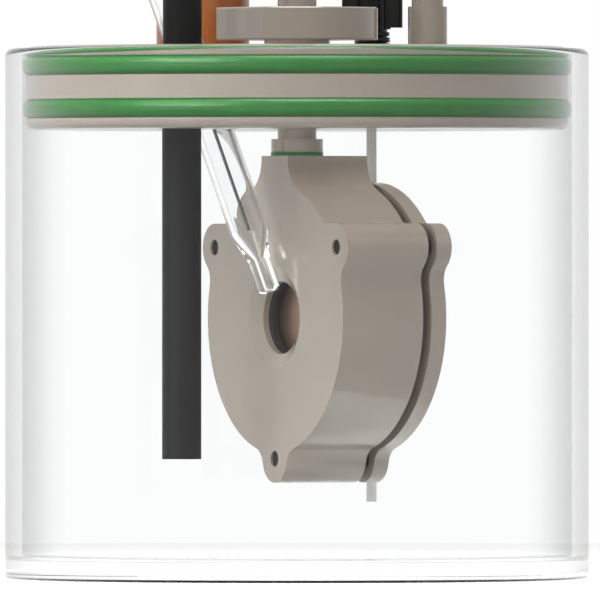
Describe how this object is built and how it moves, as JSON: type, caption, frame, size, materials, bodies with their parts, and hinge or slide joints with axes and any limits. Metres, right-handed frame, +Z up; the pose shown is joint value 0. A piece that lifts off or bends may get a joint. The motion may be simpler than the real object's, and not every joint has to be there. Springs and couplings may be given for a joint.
{
  "type": "electrochemical cell",
  "caption": "Round glass vessel closed by a thick plastic lid that carries a flat sample holder, a graphite rod, a tilted glass reference tube, a gas inlet, a plug and a stopper.",
  "frame": {"origin": "centre of the vessel's underside, on the surface that it stands on", "axes": "+Z up; the sample holder's window faces -X, and the graphite rod stands in front of it at -X"},
  "size_m": [0.09, 0.09, 0.131],
  "materials": {
    "borosilicate_glass": "clear, polished, with rounded edges",
    "peek": "turned, satin, greige",
    "fkm_dark": "smooth dark green rubber",
    "fkm_light": "smooth light green rubber",
    "nbr_black": "smooth black rubber",
    "graphite": "dull dark grey",
    "brass": "turned, satin",
    "silver_wire": "dull grey coated silver",
    "sample_metal": "flat, ground, rose brown",
    "ptfe": "white, slightly clear",
    "black_plastic": "moulded, satin black",
    "orange_plastic": "moulded, smooth orange"
  },
  "bodies": {
    "vessel": {"glass_vessel": "borosilicate_glass"},
    "lid_group": {"lid": "peek", "lid_seal_upper": "fkm_dark", "lid_seal_lower": "fkm_dark", "shaft_seal": "fkm_light", "reference_seal": "fkm_dark"},
    "holder": {"holder_shaft": "peek", "shaft_gasket": "fkm_dark", "conductor_rod": "brass", "holder_body": "peek", "electrode_seal": "nbr_black", "working_electrode": "sample_metal", "contact_cup": "brass", "holder_back_cover": "peek", "cover_seal": "nbr_black", "holder_screws": "black_plastic"},
    "gland_ring": {"gland_seal": "fkm_light"},
    "gland": {"gland_knob": "peek"},
    "counter": {"counter_electrode": "graphite"},
    "reference": {"reference_tube": "borosilicate_glass", "reference_cap": "ptfe", "reference_wire": "silver_wire"},
    "gas_line": {"gas_tube": "ptfe", "gas_ferrule": "ptfe"},
    "gas_nut": {"gas_fitting_nut": "black_plastic"},
    "plug": {"port_plug": "peek", "port_plug_seal": "fkm_dark"},
    "stopper_ring": {"port_stopper_seal": "nbr_black"},
    "stopper": {"port_stopper": "orange_plastic"}
  },
  "joints": [
    {"name": "lid_lift", "type": "slide", "parent": "vessel", "child": "lid_group", "axis": [0, 0, 1], "range_m": [0, 0.085]},
    {"name": "holder_height", "type": "slide", "parent": "lid_group", "child": "holder", "axis": [0, 0, 1], "range_m": [-0.011, 0.0013]},
    {"name": "gland_travel", "type": "slide", "parent": "lid_group", "child": "gland_ring", "axis": [0, 0, 1], "range_m": [0, 0.00666]},
    {"name": "gland_turn", "type": "hinge", "parent": "gland_ring", "child": "gland", "pos_m": [0, 0, 0.085], "axis": [0, 0, 1], "range_deg": [0, 1600]},
    {"name": "counter_height", "type": "slide", "parent": "lid_group", "child": "counter", "axis": [0, 0, 1], "range_m": [-0.014, 0.04]},
    {"name": "reference_draw", "type": "slide", "parent": "lid_group", "child": "reference", "axis": [-0.2012, 0.299, 0.9328], "range_m": [0, 0.04]},
    {"name": "gas_travel", "type": "slide", "parent": "lid_group", "child": "gas_line", "axis": [0, 0, 1], "range_m": [0, 0.00448]},
    {"name": "gas_turn", "type": "hinge", "parent": "gas_line", "child": "gas_nut", "pos_m": [0.02018, 0.01165, 0.085], "axis": [0, 0, 1], "range_deg": [0, 1780]},
    {"name": "plug_pull", "type": "slide", "parent": "lid_group", "child": "plug", "axis": [0, 0, 1], "range_m": [0, 0.03]},
    {"name": "stopper_travel", "type": "slide", "parent": "lid_group", "child": "stopper_ring", "axis": [0, 0, 1], "range_m": [0, 0.00666]},
    {"name": "stopper_turn", "type": "hinge", "parent": "stopper_ring", "child": "stopper", "pos_m": [-0.00354, 0.02303, 0.085], "axis": [0, 0, 1], "range_deg": [0, 1600]}
  ],
  "couplings": [
    {"joint": "gland_turn", "follows": "gland_travel", "rad_per_m": 4188.8},
    {"joint": "gas_turn", "follows": "gas_travel", "rad_per_m": 6927.4},
    {"joint": "stopper_turn", "follows": "stopper_travel", "rad_per_m": 4188.8}
  ]
}
